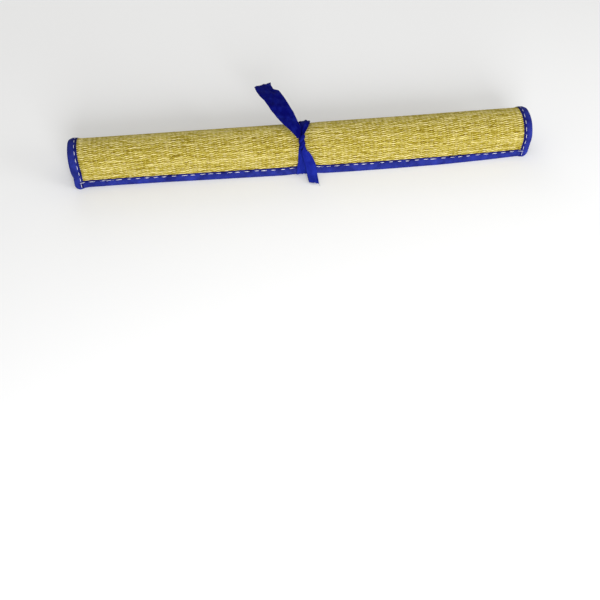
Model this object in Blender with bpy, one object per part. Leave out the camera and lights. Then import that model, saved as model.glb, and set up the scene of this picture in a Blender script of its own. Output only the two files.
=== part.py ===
"""Rolled beach mat with bound edges and a knotted tie. Metres, +Z up, +X along the roll."""
import math
from collections import namedtuple

import bmesh
import bpy
import numpy as np
from mathutils import Vector

# Mat and roll
ROLL_LENGTH = 0.600
ROLL_RADIUS = 0.0262
FLAT_SPOT_DEPTH = 0.0003
WIND_PITCH = 0.0013
CORE_RADIUS = 0.0050
CLOTH_THICKNESS = 0.0011

# Bindings
BINDING_WIDTH = 0.0120
BINDING_COVER = 0.0003
PIECE_GAP = 0.0003
END_ROUNDING = 0.0006

# Wedge between the loose edge and the roll behind it
WEDGE_START_DEG = 20.0
FLAP_CURVE_POWER = 1.5

# Shallow spiral in each end face
SPIRAL_STEP = 0.0026
SPIRAL_WIDTH = 0.0008
SPIRAL_DEPTH = 0.0012
SPIRAL_SEGMENTS_PER_TURN = 24

# Tie
TIE_X = -0.001
TIE_SQUEEZE = 0.0013
SQUEEZE_HALF_WIDTH = 0.013
SQUEEZE_FADE = 0.022
TAPE_THICKNESS = 0.0010
FOLDED_TAPE_THICKNESS = 0.0016
KNOT_ANGLE_DEG = 56.0
KNOT_X = -0.0030
KNOT_HALF_LENGTH = 0.0090
KNOT_HALF_WIDTH = 0.0046
KNOT_HALF_HEIGHT = 0.0032

# How far the loose edge leans out in front along the roll
Lean = namedtuple("Lean", "x out")
LEANS = (
    Lean(-0.3000, 0.0030),
    Lean(-0.2850, 0.0002),
    Lean(-0.2400, 0.0004),
    Lean(-0.1800, 0.0014),
    Lean(-0.1200, 0.0032),
    Lean(-0.0600, 0.0048),
    Lean(0.0000, 0.0064),
    Lean(0.0600, 0.0076),
    Lean(0.1200, 0.0073),
    Lean(0.1800, 0.0060),
    Lean(0.2400, 0.0030),
    Lean(0.2850, 0.0003),
    Lean(0.3000, 0.0000),
)

# The band of the tie round the roll, from its front foot over the top and back under
Hoop = namedtuple("Hoop", "turn_deg x width")
HOOPS = (
    Hoop(-60.0, -0.0040, 0.0150),
    Hoop(-20.0, -0.0040, 0.0130),
    Hoop(20.0, -0.0042, 0.0095),
    Hoop(56.0, -0.0030, 0.0080),
    Hoop(90.0, 0.0026, 0.0120),
    Hoop(140.0, 0.0020, 0.0180),
    Hoop(220.0, -0.0010, 0.0200),
    Hoop(300.0, -0.0040, 0.0150),
)

# The free ends of the tie, from the knot outwards
Tail = namedtuple("Tail", "x y z width")
LONG_TAIL = (
    Tail(-0.0028, -0.0140, 0.0480, 0.0060),
    Tail(-0.0058, -0.0102, 0.0515, 0.0080),
    Tail(-0.0118, -0.0040, 0.0572, 0.0130),
    Tail(-0.0188, 0.0088, 0.0630, 0.0215),
    Tail(-0.0281, 0.0261, 0.0675, 0.0240),
    Tail(-0.0361, 0.0439, 0.0695, 0.0240),
    Tail(-0.0426, 0.0561, 0.0695, 0.0240),
    Tail(-0.0459, 0.0686, 0.0685, 0.0235),
)
SHORT_TAIL = (
    Tail(-0.0034, -0.0175, 0.0450, 0.0060),
    Tail(-0.0035, -0.0223, 0.0410, 0.0070),
    Tail(-0.0014, -0.0284, 0.0355, 0.0085),
    Tail(0.0016, -0.0312, 0.0278, 0.0125),
    Tail(0.0059, -0.0350, 0.0165, 0.0145),
    Tail(0.0084, -0.0430, 0.0058, 0.0140),
    Tail(0.0102, -0.0505, 0.0021, 0.0130),
)
LONG_TAIL_FACING = (0.0, -0.3, 0.95)
SHORT_TAIL_FACING = (0.0, -0.6, 0.8)
TAIL_PARTS = 3

AXIS_HEIGHT = ROLL_RADIUS - 0.75 * WIND_PITCH - FLAT_SPOT_DEPTH
STRAW = ("straw", (0.72, 0.62, 0.27), 0.75)
NAVY = ("binding", (0.035, 0.035, 0.30), 0.80)
TIE_BLUE = ("tie", (0.030, 0.035, 0.33), 0.80)


def clear_scene():
    """Removes every object that the file starts with."""
    for old in list(bpy.data.objects):
        bpy.data.objects.remove(old, do_unlink=True)


def material(name, colour, roughness):
    """Returns a plain Principled material."""
    found = bpy.data.materials.get(name)
    if found:
        return found
    made = bpy.data.materials.new(name)
    made.use_nodes = True
    shader = made.node_tree.nodes["Principled BSDF"]
    shader.inputs["Base Color"].default_value = (*colour, 1.0)
    shader.inputs["Roughness"].default_value = roughness
    made.diffuse_color = (*colour, 1.0)
    return made


def add_object(name, bm, look):
    """Turns a bmesh into a named object with its material."""
    bmesh.ops.recalc_face_normals(bm, faces=bm.faces)
    mesh = bpy.data.meshes.new(name)
    bm.to_mesh(mesh)
    bm.free()
    mesh.materials.append(material(*look))
    made = bpy.data.objects.new(name, mesh)
    bpy.context.scene.collection.objects.link(made)
    return made


def boolean(target, other, operation):
    """Joins or cuts target with other, which stays as a hidden tool."""
    step = target.modifiers.new(operation.title() + " " + other.name, "BOOLEAN")
    step.operation = operation
    step.solver = "EXACT"
    step.object = other
    other.hide_render = True
    other.display_type = "WIRE"


def smooth_step(value):
    """Eases 0 to 1."""
    t = min(max(value, 0.0), 1.0)
    return t * t * (3.0 - 2.0 * t)


def squeeze(x):
    """How much the tie presses the roll in at x."""
    away = abs(x - TIE_X) - SQUEEZE_HALF_WIDTH
    return TIE_SQUEEZE * smooth_step(1.0 - away / SQUEEZE_FADE)


def lean(x):
    """How far the loose edge's lip stands out in front at x."""
    return float(np.interp(x, [row.x for row in LEANS], [row.out for row in LEANS]))


def roll_point(radius, turn):
    """A point of the roll's section, turned from the front over the top."""
    return np.array([-radius * math.cos(turn), AXIS_HEIGHT + radius * math.sin(turn)])


def flap_line(x, grow, steps):
    """Outer face of the hanging loose edge, from the roll's front down to its lip."""
    front = ROLL_RADIUS - squeeze(x) + grow
    base = squeeze(x)
    fall = AXIS_HEIGHT - base
    shares = np.linspace(0.0, 1.0, steps)
    out = lean(x) * shares ** FLAP_CURVE_POWER
    return np.column_stack([-front - out, AXIS_HEIGHT - fall * shares])


def line_lengths(line):
    """Running length along a line of points."""
    return np.concatenate([[0.0], np.cumsum(np.linalg.norm(np.diff(line, axis=0), axis=1))])


def piece_of_line(line, start, end, steps):
    """The stretch of a line between two running lengths."""
    run = line_lengths(line)
    at = np.linspace(start, end, steps)
    return np.column_stack([np.interp(at, run, line[:, axis]) for axis in (0, 1)])


def wound_section(x, grow, cut_from_lip, arc_steps=46, flap_steps=7):
    """Closed outline of the wound roll with its hanging edge, at x along the roll."""
    radius = ROLL_RADIUS - squeeze(x) + grow
    base = squeeze(x)
    thick = CLOTH_THICKNESS + 2.0 * grow
    flap = flap_line(x, grow, 60)
    full = line_lengths(flap)[-1]
    outer = piece_of_line(flap, 0.0, full - cut_from_lip, flap_steps)
    wedge_drop = (radius - WIND_PITCH) * math.sin(math.radians(WEDGE_START_DEG))
    inner = piece_of_line(flap, wedge_drop, full - cut_from_lip, flap_steps)
    inner[:, 0] += thick
    turns = np.radians(np.linspace(0.0, 360.0 - WEDGE_START_DEG, arc_steps))
    arc = [roll_point(radius - WIND_PITCH * turn / math.tau, turn) for turn in turns[1:]]
    points = np.vstack([outer[::-1], arc, inner])
    points[:, 1] = np.maximum(points[:, 1], base)
    return points


def strip_section(x, grow, length):
    """Outline of the tape folded over the loose edge."""
    flap = flap_line(x, grow, 60)
    full = line_lengths(flap)[-1]
    outer = piece_of_line(flap, full - length, full, 5)
    inner = outer.copy()
    inner[:, 0] += CLOTH_THICKNESS + 2.0 * grow
    return np.vstack([outer[::-1], inner])


def ring_verts(bm, x, section):
    """Adds one section of points at x."""
    return [bm.verts.new((x, y, z)) for y, z in section]


def skin(bm, rings, closed=False):
    """Joins each ring of vertices to the next by faces."""
    count = len(rings[0])
    pairs = list(zip(rings, rings[1:]))
    if closed:
        pairs.append((rings[-1], rings[0]))
    for left, right in pairs:
        for i in range(count):
            j = (i + 1) % count
            bm.faces.new((left[i], left[j], right[j], right[i]))


def ring_edges(ring):
    """Edges round one ring."""
    found = []
    for vert, after in zip(ring, ring[1:] + ring[:1]):
        found.append(next(e for e in vert.link_edges if e.other_vert(vert) is after))
    return found


def wound_object(name, stations, look, grow, cut_from_lip, rounding=0.0):
    """A stretch of the roll, open at the core."""
    bm = bmesh.new()
    outer_rings = []
    core_rings = []
    core_turns = np.radians(np.arange(0.0, 360.0, 22.5))
    for index, x in enumerate(stations):
        inset = rounding if index in (0, len(stations) - 1) and abs(x) > 0.299 else 0.0
        section = wound_section(x, grow - inset * 0.5, cut_from_lip)
        core = [roll_point(CORE_RADIUS + inset * 0.3, turn) for turn in core_turns]
        outer_rings.append(ring_verts(bm, x, section))
        core_rings.append(ring_verts(bm, x, core))
    skin(bm, outer_rings)
    skin(bm, core_rings)
    for end in (0, -1):
        edges = ring_edges(outer_rings[end]) + ring_edges(core_rings[end])
        bmesh.ops.triangle_fill(bm, edges=edges, use_beauty=True, use_dissolve=False)
    return add_object(name, bm, look)


def lofted(name, rings, look, closed=False):
    """A closed solid through rings of points, capped unless it closes on itself."""
    bm = bmesh.new()
    made = [[bm.verts.new(point) for point in ring] for ring in rings]
    skin(bm, made, closed)
    if not closed:
        bm.faces.new(made[0])
        bm.faces.new(made[-1][::-1])
    return add_object(name, bm, look)


def spiral_cutter(name, face_x, side):
    """A shallow spiral wall that marks the turns in an end face."""
    first = CORE_RADIUS + 0.0012
    last = ROLL_RADIUS - 0.0030
    turns = (last - first) / SPIRAL_STEP
    start = math.radians(-WEDGE_START_DEG) + turns * math.tau
    count = int(turns * SPIRAL_SEGMENTS_PER_TURN)
    rings = []
    for step in range(count + 1):
        share = step / SPIRAL_SEGMENTS_PER_TURN
        radius = first + SPIRAL_STEP * share
        turn = start - share * math.tau
        ring = []
        for reach, depth in ((0.0, -1.0), (1.0, -1.0), (1.0, 1.0), (0.0, 1.0)):
            y, z = roll_point(radius + reach * SPIRAL_WIDTH, turn)
            ring.append((face_x + side * depth * SPIRAL_DEPTH, y, z))
        rings.append(ring)
    return lofted(name, rings, NAVY)


def convex_outline(points):
    """Convex hull of points, counter-clockwise."""
    rows = sorted({(round(y, 7), round(z, 7)) for y, z in points})

    def half(order):
        chain = []
        for point in order:
            while len(chain) >= 2:
                a = np.subtract(chain[-1], chain[-2])
                b = np.subtract(point, chain[-2])
                if a[0] * b[1] - a[1] * b[0] > 0.0:
                    break
                chain.pop()
            chain.append(point)
        return chain[:-1]

    return np.array(half(rows) + half(rows[::-1]))


def hoop_path(offset, count=64):
    """The tie's way round the roll and its loose edge, as points and outward directions."""
    points = np.vstack([wound_section(TIE_X, 0.0, 0.0), strip_section(TIE_X, BINDING_COVER, BINDING_WIDTH)])
    hull = convex_outline(points)
    loop = np.vstack([hull, hull[:1]])
    run = line_lengths(loop)
    at = np.linspace(0.0, run[-1], count, endpoint=False)
    centre = np.array([0.0, AXIS_HEIGHT])
    path = []
    for value in at:
        point = np.array([np.interp(value, run, loop[:, axis]) for axis in (0, 1)])
        ahead = np.array([np.interp((value + 0.0012) % run[-1], run, loop[:, axis]) for axis in (0, 1)])
        behind = np.array([np.interp((value - 0.0012) % run[-1], run, loop[:, axis]) for axis in (0, 1)])
        along = ahead - behind
        out = np.array([along[1], -along[0]]) / np.linalg.norm(along)
        turn = math.degrees(math.atan2(point[1] - centre[1], -point[0]))
        path.append((point + out * offset, out, turn))
    return path


def hoop_rings():
    """Rings of the tie's band round the roll."""
    angles = [row.turn_deg for row in HOOPS]
    rings = []
    inner = hoop_path(PIECE_GAP)
    for point, out, turn in inner:
        if turn < HOOPS[0].turn_deg:
            turn += 360.0
        x = float(np.interp(turn, angles, [row.x for row in HOOPS]))
        half = 0.5 * float(np.interp(turn, angles, [row.width for row in HOOPS]))
        outer = point + out * TAPE_THICKNESS
        low, high = max(point[1], PIECE_GAP + 0.0007), max(outer[1], 0.0)
        rings.append([
            (x - half, point[0], low),
            (x + half, point[0], low),
            (x + half, outer[0], high),
            (x - half, outer[0], high),
        ])
    return rings


def smooth_rows(rows, parts):
    """Adds rows between the given ones on a smooth curve through them."""
    given = np.array(rows)
    padded = np.vstack([2.0 * given[0] - given[1], given, 2.0 * given[-1] - given[-2]])
    found = []
    for index in range(len(given) - 1):
        a, b, c, d = padded[index:index + 4]
        for step in range(parts):
            t = step / parts
            square = (2.0 * a - 5.0 * b + 4.0 * c - d) * t ** 2
            cube = (3.0 * b - a - 3.0 * c + d) * t ** 3
            found.append(Tail(*(b + 0.5 * ((c - a) * t + square + cube))))
    found.append(Tail(*given[-1]))
    return found


def tape_rings(table, thickness, face):
    """Rings of a free end of tape whose face looks towards the given direction."""
    rows = smooth_rows(table, TAIL_PARTS)
    centres = [Vector((row.x, row.y, row.z)) for row in rows]
    facing = Vector(face).normalized()
    rings = []
    for index, row in enumerate(rows):
        before = centres[max(index - 1, 0)]
        after = centres[min(index + 1, len(rows) - 1)]
        along = (after - before).normalized()
        across = along.cross(facing).normalized()
        normal = across.cross(along).normalized()
        side = across * row.width * 0.5
        lift = normal * thickness * 0.5
        centre = centres[index]
        rings.append([
            tuple(centre - side - lift),
            tuple(centre + side - lift),
            tuple(centre + side + lift),
            tuple(centre - side + lift),
        ])
    return rings


def knot_object(name):
    """The rounded lump where the two halves of the tie are pulled together."""
    bm = bmesh.new()
    bmesh.ops.create_uvsphere(bm, u_segments=16, v_segments=10, radius=1.0)
    turn = math.radians(KNOT_ANGLE_DEG)
    radius = ROLL_RADIUS - TIE_SQUEEZE + PIECE_GAP + 0.0002 + KNOT_HALF_HEIGHT
    y, z = roll_point(radius, turn)
    out = Vector((0.0, -math.cos(turn), math.sin(turn)))
    along = Vector((0.0, math.sin(turn), math.cos(turn)))
    for vert in bm.verts:
        wide = vert.co.x * KNOT_HALF_WIDTH
        high = vert.co.y * KNOT_HALF_HEIGHT
        far = vert.co.z * KNOT_HALF_LENGTH
        vert.co = Vector((KNOT_X + wide, y, z)) + out * high + along * far
    return add_object(name, bm, TIE_BLUE)


def wrap_object(name):
    """The turn of tape that crosses over the knot."""
    turn = math.radians(KNOT_ANGLE_DEG)
    radius = ROLL_RADIUS - TIE_SQUEEZE + PIECE_GAP + 0.0004 + KNOT_HALF_HEIGHT
    y, z = roll_point(radius, turn)
    out = Vector((0.0, -math.cos(turn), math.sin(turn)))
    along = Vector((0.30, math.sin(turn), math.cos(turn))).normalized()
    across = along.cross(out).normalized()
    rings = []
    for angle in np.radians(np.arange(0.0, 360.0, 22.5)):
        ring = []
        for reach, shift in ((-0.6, -1.0), (-0.6, 1.0), (0.5, 0.7), (0.5, -0.7)):
            wide = across * math.cos(angle) * (KNOT_HALF_WIDTH + 0.0010 * reach)
            high = out * math.sin(angle) * (KNOT_HALF_HEIGHT + 0.0006 * reach)
            ring.append(tuple(Vector((KNOT_X, y, z)) + wide + high + along * shift * 0.0032))
        rings.append(ring)
    return lofted(name, rings, TIE_BLUE, closed=True)


def roll_stations():
    """Stations along the straw between the end bindings, closer together at the tie."""
    end = 0.5 * ROLL_LENGTH - BINDING_WIDTH - PIECE_GAP
    near = [-0.035, -0.028, -0.022, -0.017, -0.013, -0.005, 0.005, 0.013, 0.017, 0.022, 0.028, 0.035]
    inside = [row.x for row in LEANS if 0.05 < abs(row.x) < end - 0.002]
    stations = [-end, end] + inside + [TIE_X + step for step in near]
    return sorted(stations)


def build():
    """Builds every piece."""
    clear_scene()
    end = 0.5 * ROLL_LENGTH
    stations = roll_stations()
    wound_object("mat_roll", stations, STRAW, 0.0, BINDING_WIDTH + PIECE_GAP)
    for name, side in (("end_binding_left", -1.0), ("end_binding_right", 1.0)):
        steps = sorted([side * (end - BINDING_WIDTH), side * (end - END_ROUNDING), side * end])
        piece = wound_object(name, steps, NAVY, BINDING_COVER, 0.0, END_ROUNDING)
        boolean(piece, spiral_cutter("spiral_tool" + name[11:], side * end, side), "DIFFERENCE")
    sections = [[(x, y, z) for y, z in strip_section(x, BINDING_COVER, BINDING_WIDTH)] for x in stations]
    lofted("edge_binding", sections, NAVY)
    tie = lofted("tie", hoop_rings(), TIE_BLUE, closed=True)
    boolean(tie, knot_object("tie_knot_tool"), "UNION")
    boolean(tie, wrap_object("tie_wrap_tool"), "UNION")
    long_rings = tape_rings(LONG_TAIL, TAPE_THICKNESS, LONG_TAIL_FACING)
    short_rings = tape_rings(SHORT_TAIL, FOLDED_TAPE_THICKNESS, SHORT_TAIL_FACING)
    boolean(tie, lofted("tie_long_tool", long_rings, TIE_BLUE), "UNION")
    boolean(tie, lofted("tie_short_tool", short_rings, TIE_BLUE), "UNION")


build()
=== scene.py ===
"""Looks of a rolled reed beach mat with tape-bound edges and a knotted tape tie."""
from __future__ import annotations

import logging
import math
from dataclasses import dataclass, field
from enum import Enum, IntEnum

import bmesh
import bpy
import numpy as np
from mathutils import Matrix, Vector

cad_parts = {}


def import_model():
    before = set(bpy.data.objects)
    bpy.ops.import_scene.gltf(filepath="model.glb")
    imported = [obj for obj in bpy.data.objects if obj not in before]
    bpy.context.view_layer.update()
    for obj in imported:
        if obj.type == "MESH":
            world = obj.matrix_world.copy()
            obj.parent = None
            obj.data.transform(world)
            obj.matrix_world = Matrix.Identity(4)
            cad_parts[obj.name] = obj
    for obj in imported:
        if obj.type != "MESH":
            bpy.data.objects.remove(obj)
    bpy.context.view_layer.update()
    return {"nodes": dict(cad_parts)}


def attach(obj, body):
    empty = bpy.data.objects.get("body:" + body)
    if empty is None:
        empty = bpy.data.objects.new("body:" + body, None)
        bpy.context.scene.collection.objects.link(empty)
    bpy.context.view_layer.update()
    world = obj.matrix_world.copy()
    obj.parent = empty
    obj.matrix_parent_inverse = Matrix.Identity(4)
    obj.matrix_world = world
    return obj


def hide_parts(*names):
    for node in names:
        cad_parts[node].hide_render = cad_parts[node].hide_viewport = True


LOG = logging.getLogger("beach_mat")
TAU = math.tau
FLAT_MAP = "flat"
TONE = "tone"
WAVE_SCALE = 0.05 * TAU

Triple = tuple[float, float, float]
Socket = bpy.types.NodeSocket

# The folded tape's outer face: share of its width from the edge, and share of its height
FOLD = (
    (1.000, 0.55), (0.994, 0.84), (0.940, 0.92), (0.830, 0.84), (0.750, 0.62),
    (0.670, 0.88), (0.400, 1.14), (0.130, 1.04), (0.045, 0.78), (0.012, 0.38),
)

# Lengthwise pleats of the tie: height, half waves across and phase of each
PLEATS = ((1.0, 2.6, 0.8), (0.6, 4.3, 2.0))


class Slot(Enum):
    """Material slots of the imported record."""

    STRAW = "straw"
    BINDING = "binding"
    TIE = "tie"


class Side(Enum):
    """The two ends of the roll, as the sign of X."""

    LEFT = -1
    RIGHT = 1


class Axis(Enum):
    """Axes of the flat map, as the stretch that leaves only that axis."""

    X = (1.0, 0.0, 0.0)
    Y = (0.0, 1.0, 0.0)


@dataclass(frozen=True)
class LeanStation:
    """How far the loose edge's lip stands out in front at one place along the roll."""

    x: float
    out: float


@dataclass(frozen=True)
class BandStation:
    """The middle and width of the tie's band at one angle round the roll."""

    turn_deg: float
    x: float
    width: float


@dataclass(frozen=True)
class TailStation:
    """A point of a free end of the tie, from the knot outwards."""

    x: float
    y: float
    z: float
    width: float
    curl: float


LEANS = (
    LeanStation(-0.3000, 0.0044),
    LeanStation(-0.2850, 0.0018),
    LeanStation(-0.2400, 0.0020),
    LeanStation(-0.1800, 0.0030),
    LeanStation(-0.1200, 0.0046),
    LeanStation(-0.0600, 0.0060),
    LeanStation(0.0000, 0.0072),
    LeanStation(0.0600, 0.0084),
    LeanStation(0.1200, 0.0084),
    LeanStation(0.1800, 0.0074),
    LeanStation(0.2400, 0.0044),
    LeanStation(0.2850, 0.0014),
    LeanStation(0.3000, 0.0010),
)

BAND = (
    BandStation(-60.0, -0.0045, 0.0154),
    BandStation(-40.0, -0.0045, 0.0150),
    BandStation(-30.0, -0.0046, 0.0126),
    BandStation(-15.0, -0.0043, 0.0086),
    BandStation(26.0, -0.0044, 0.0062),
    BandStation(66.0, -0.0026, 0.0086),
    BandStation(80.0, -0.0008, 0.0116),
    BandStation(94.0, 0.0021, 0.0154),
    BandStation(104.0, 0.0051, 0.0134),
    BandStation(120.0, 0.0046, 0.0152),
    BandStation(145.0, 0.0028, 0.0172),
    BandStation(220.0, -0.0010, 0.0195),
    BandStation(300.0, -0.0050, 0.0150),
)

LONG_TAIL = (
    TailStation(-0.0050, -0.0182, 0.0490, 0.0080, 0.80),
    TailStation(-0.0072, -0.0130, 0.0528, 0.0112, 0.55),
    TailStation(-0.0114, -0.0045, 0.0575, 0.0166, 0.32),
    TailStation(-0.0190, 0.0080, 0.0628, 0.0215, 0.12),
    TailStation(-0.0279, 0.0261, 0.0675, 0.0240, 0.05),
    TailStation(-0.0352, 0.0439, 0.0697, 0.0250, 0.08),
    TailStation(-0.0405, 0.0545, 0.0698, 0.0254, 0.10),
    TailStation(-0.0441, 0.0625, 0.0693, 0.0234, 0.05),
    TailStation(-0.0457, 0.0702, 0.0683, 0.0226, 0.02),
)

SHORT_TAIL = (
    TailStation(-0.0004, -0.0300, 0.0350, 0.0100, 0.75),
    TailStation(0.0034, -0.0322, 0.0275, 0.0150, 0.60),
    TailStation(0.0071, -0.0356, 0.0165, 0.0166, 0.48),
    TailStation(0.0085, -0.0432, 0.0066, 0.0148, 0.40),
    TailStation(0.0096, -0.0528, 0.0022, 0.0134, 0.34),
)


class Seed(IntEnum):
    """Seeds of the random draws, a number for each kind of unevenness."""

    SLIP = 7
    END_INNER_EDGE = 11
    END_FOLD = 21
    END_PUCKER = 31
    END_TONE = 41
    END_STITCHES = 51
    LIP_INNER_EDGE = 61
    LIP_PUCKER = 62
    LIP_STITCHES = 63
    LIP_TONE = 64
    LIP_STITCH_SIZES = 77
    TIE_WAVES = 81
    TIE_CREASES = 82
    TIE_TONE = 83
    FRAYS = 91
    WARP_PLACES = 501
    REED_RISE = 700
    WARP_SWAY = 3000


class Wobble:
    """Smooth, seeded unevenness along a line."""

    FASTEST = 3.7
    SPREAD = (0.8, 1.2)
    LOWEST = 0.35
    GAIN = 1.6

    def __init__(self, seed: int, wavelength: float, waves: int = 5) -> None:
        """Draws the waves.

        Args:
            seed: Seed of the random draw.
            wavelength: Longest wavelength in metres.
            waves: How many waves are added up.
        """
        draw = np.random.default_rng(int(seed))
        rates = TAU / wavelength * np.linspace(1.0, self.FASTEST, waves)
        self.rates = rates * draw.uniform(*self.SPREAD, waves)
        self.phases = draw.uniform(0.0, TAU, waves)
        self.heights = np.linspace(1.0, self.LOWEST, waves) / waves

    def at(self, where: np.ndarray) -> np.ndarray:
        """Returns values between about -1 and 1 for the given places."""
        angles = np.multiply.outer(np.asarray(where, float), self.rates) + self.phases
        return np.sin(angles) @ self.heights * self.GAIN


def eased(share: np.ndarray) -> np.ndarray:
    """Eases shares between 0 and 1, level at both ends."""
    return share * share * (3.0 - 2.0 * share)


def bell(away: np.ndarray | float, reach: float) -> np.ndarray | float:
    """Returns 1 at the middle and falls off to either side over the given reach."""
    return np.exp(-((away / reach) ** 2))


def running_length(points: np.ndarray) -> np.ndarray:
    """Returns the length along a line up to each of its points."""
    return np.concatenate([[0.0], np.cumsum(np.linalg.norm(np.diff(points, axis=0), axis=1))])


def unit(rows: np.ndarray) -> np.ndarray:
    """Returns rows as directions of length 1."""
    return rows / np.linalg.norm(rows, axis=1, keepdims=True)


@dataclass(frozen=True)
class RollForm:
    """The form in which the mat is wound: flat places in, places on the roll out."""

    length: float = 0.600
    unrolled: float = 1.700
    radius: float = 0.0262
    core: float = 0.0050
    cloth: float = 0.0011
    flat_spot: float = 0.0003
    first_pitch: float = 0.0013
    tie_x: float = -0.001
    squeeze_depth: float = 0.0006
    squeeze_half_width: float = 0.010
    squeeze_fade: float = 0.020
    flap_power: float = 1.5
    bulge: float = 0.0013
    bulge_reach: float = 0.0060
    bulge_fade: float = 0.0110
    taper: float = 0.0027
    taper_reach: float = 0.0085
    taper_power: float = 1.7
    right_swell: float = 0.0009
    right_start: float = 0.10
    right_fade: float = 0.16
    slip_runs: tuple[float, ...] = (0.0, 0.026, 0.066, 0.120, 0.180)
    slips: tuple[float, ...] = (0.0010, 0.0021, -0.0002, -0.0004, 0.0)
    drift: float = 0.0009
    drift_wave: float = 0.62
    drift_start: float = 0.2
    outer_run: float = 0.19
    lean_places: int = 241
    lean_rounding: int = 4
    least_root: float = 1e-9
    least_drop: float = 1e-3

    @property
    def axis_height(self) -> float:
        """Height of the roll's axis over the floor."""
        return self.radius - 0.75 * self.first_pitch - self.flat_spot

    @property
    def flap(self) -> float:
        """Length of the loose edge that hangs free, where it hangs straight."""
        return self.axis_height

    def squeeze(self, x: np.ndarray) -> np.ndarray:
        """Returns how far the tie presses the roll in."""
        away = np.abs(x - self.tie_x) - self.squeeze_half_width
        return self.squeeze_depth * eased(np.clip(1.0 - away / self.squeeze_fade, 0.0, 1.0))

    def fullness(self, x: np.ndarray) -> np.ndarray:
        """Measures how much thicker the taped ends are, drawn in again at the very edge.

        Args:
            x: Places along the roll.

        Returns:
            What is added to the roll's radius there.
        """
        away = 0.5 * self.length - np.abs(x)
        swell = eased(np.clip(1.0 - (away - self.bulge_reach) / self.bulge_fade, 0.0, 1.0))
        edge = np.clip(1.0 - away / self.taper_reach, 0.0, 1.0)
        broad = eased(np.clip((x - self.right_start) / self.right_fade, 0.0, 1.0))
        return self.bulge * swell + self.right_swell * broad - self.taper * edge**self.taper_power

    def slide(self, run: np.ndarray) -> np.ndarray:
        """Measures how far each part of the mat has slipped along the roll.

        Args:
            run: Running lengths from the lip.

        Returns:
            Shifts along the roll.
        """
        first_turn = np.interp(run, self.slip_runs, self.slips)
        inside = np.clip(run / self.drift_start, 0.0, 1.0)
        return first_turn + self.drift * Wobble(Seed.SLIP, self.drift_wave).at(run) * inside

    def lean(self, x: np.ndarray) -> np.ndarray:
        """Measures how far the lip stands out in front.

        Args:
            x: Places along the roll.

        Returns:
            Distances outwards, rounded off between the stations.
        """
        places = np.linspace(-0.5 * self.length, 0.5 * self.length, self.lean_places)
        outs = np.interp(places, [row.x for row in LEANS], [row.out for row in LEANS])
        weights = np.hanning(2 * self.lean_rounding + 1)
        padded = np.pad(outs, self.lean_rounding, mode="reflect", reflect_type="odd")
        smooth = np.convolve(padded, weights / weights.sum(), mode="valid")
        return np.interp(x, places, smooth)

    def wind(self, flat: np.ndarray) -> np.ndarray:
        """Winds flat places onto the roll.

        Args:
            flat: Rows of x, running length from the lip, and height outwards from the
                middle of the cloth, in metres.

        Returns:
            Rows of x, y and z on the roll.
        """
        x, run, height = flat[:, 0], flat[:, 1], flat[:, 2]
        press, out = self.squeeze(x), self.lean(x)
        front, fall = self.radius - press + self.fullness(x), self.axis_height - press
        lift = height - 0.5 * self.cloth
        # The loose edge hangs down in front of the roll and leans out towards its lip.
        flap = np.hypot(fall, out)
        share = np.clip(1.0 - run / flap, 0.0, None)
        flap_y = -front - out * share**self.flap_power
        flap_z = self.axis_height - fall * share
        flap_ny, flap_nz = -fall, self.flap_power * out * np.sqrt(share)
        size = np.hypot(flap_ny, flap_nz)
        # The rest winds inwards in an even spiral that uses up the mat's length at the core.
        pitch = math.pi * (front**2 - self.core**2) / (self.unrolled - flap)
        bend = pitch / (2.0 * TAU)
        after = np.maximum(run - flap, 0.0)
        turn = (front - np.sqrt(np.maximum(front**2 - 4.0 * bend * after, self.least_root))) / (2.0 * bend)
        ring = front - pitch * turn / TAU
        outside = front - pitch * np.mod(turn, TAU) / TAU
        # The floor presses the undersides of the turns flat, the outer ones most.
        down = np.maximum(-np.sin(turn), self.least_drop)
        ring = ring - np.maximum(outside - fall / down, 0.0) * (ring / outside) ** 2
        loose = run < flap
        y = np.where(loose, flap_y + flap_ny / size * lift, -(ring + lift) * np.cos(turn))
        z_arc = self.axis_height + (ring + lift) * np.sin(turn)
        z = np.where(loose, flap_z + flap_nz / size * lift, z_arc)
        return np.column_stack([x + self.slide(run), y, np.maximum(z, press)])

    def outline(self, x: float, lift: float) -> np.ndarray:
        """Traces the outer turn.

        Args:
            x: Place along the roll.
            lift: Distance off the cloth.

        Returns:
            Rows of y and z.
        """
        hanging = np.linspace(0.0, self.flap, 12)
        runs = np.concatenate([hanging, np.linspace(self.flap, self.outer_run, 120)])
        flat = np.column_stack([np.full(len(runs), x), runs, np.full(len(runs), 0.5 * self.cloth + lift)])
        return self.wind(flat)[:, 1:]


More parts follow.
